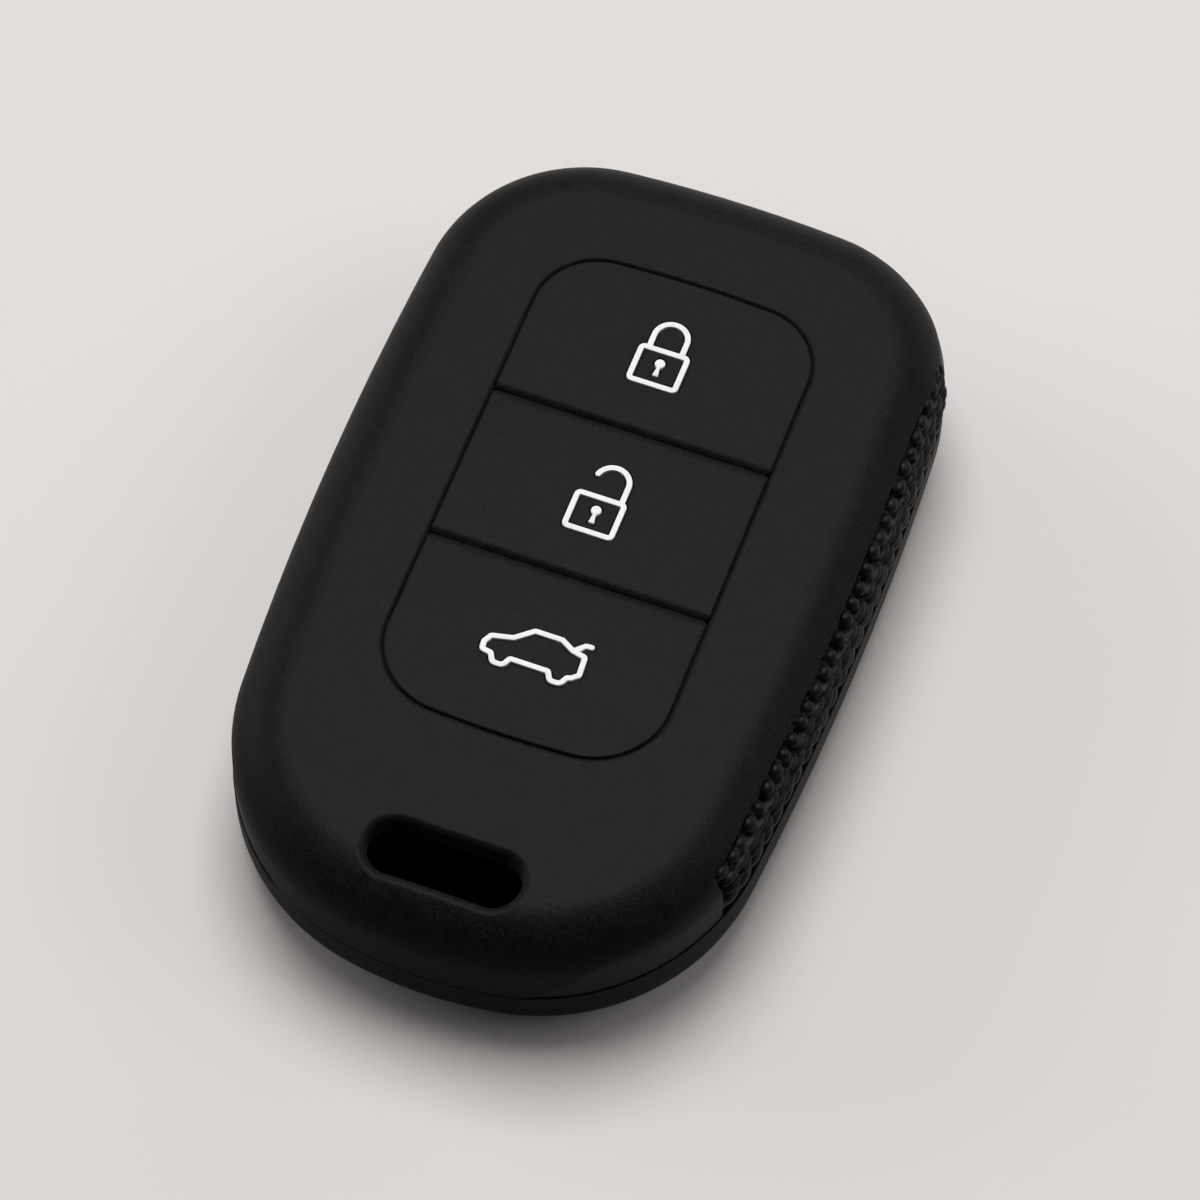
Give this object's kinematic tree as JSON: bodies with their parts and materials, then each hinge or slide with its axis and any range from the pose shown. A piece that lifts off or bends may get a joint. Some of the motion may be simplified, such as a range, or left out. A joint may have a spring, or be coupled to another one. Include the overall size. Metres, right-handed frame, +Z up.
{
  "type": "key fob cover",
  "caption": "Soft black key fob cover with rounded ends, pebbled side grips, sprung buttons with raised white icons, a key ring slot and an open back.",
  "frame": {"origin": "under the middle of the cover, on the surface that its back lies on", "axes": "+X to the right seen from the front, +Y from the key ring slot to the far end, +Z up out of the front face"},
  "size_m": [0.0442, 0.0718, 0.0149],
  "materials": {
    "black_silicone": "soft matte",
    "black_grip": "pebbled matte",
    "white_icon": "soft satin"
  },
  "bodies": {
    "cover": {"front_cover": "black_silicone", "rear_cover": "black_silicone", "left_grip": "black_grip", "right_grip": "black_grip", "lock_button_web": "black_silicone", "unlock_button_web": "black_silicone", "trunk_button_web": "black_silicone"},
    "lock_button": {"lock_button": "black_silicone", "lock_icon": "white_icon", "lock_keyhole": "white_icon"},
    "unlock_button": {"unlock_button": "black_silicone", "unlock_icon": "white_icon", "unlock_keyhole": "white_icon"},
    "trunk_button": {"trunk_button": "black_silicone", "trunk_icon": "white_icon"}
  },
  "joints": [
    {"name": "lock_press", "type": "slide", "parent": "cover", "child": "lock_button", "axis": [0, 0, -1], "range_m": [0, 0.0005], "stiffness_N_per_m": 4000, "deforming": ["lock_button_web"]},
    {"name": "unlock_press", "type": "slide", "parent": "cover", "child": "unlock_button", "axis": [0, 0, -1], "range_m": [0, 0.0005], "stiffness_N_per_m": 4000, "deforming": ["unlock_button_web"]},
    {"name": "trunk_press", "type": "slide", "parent": "cover", "child": "trunk_button", "axis": [0, 0, -1], "range_m": [0, 0.0005], "stiffness_N_per_m": 4000, "deforming": ["trunk_button_web"]}
  ]
}
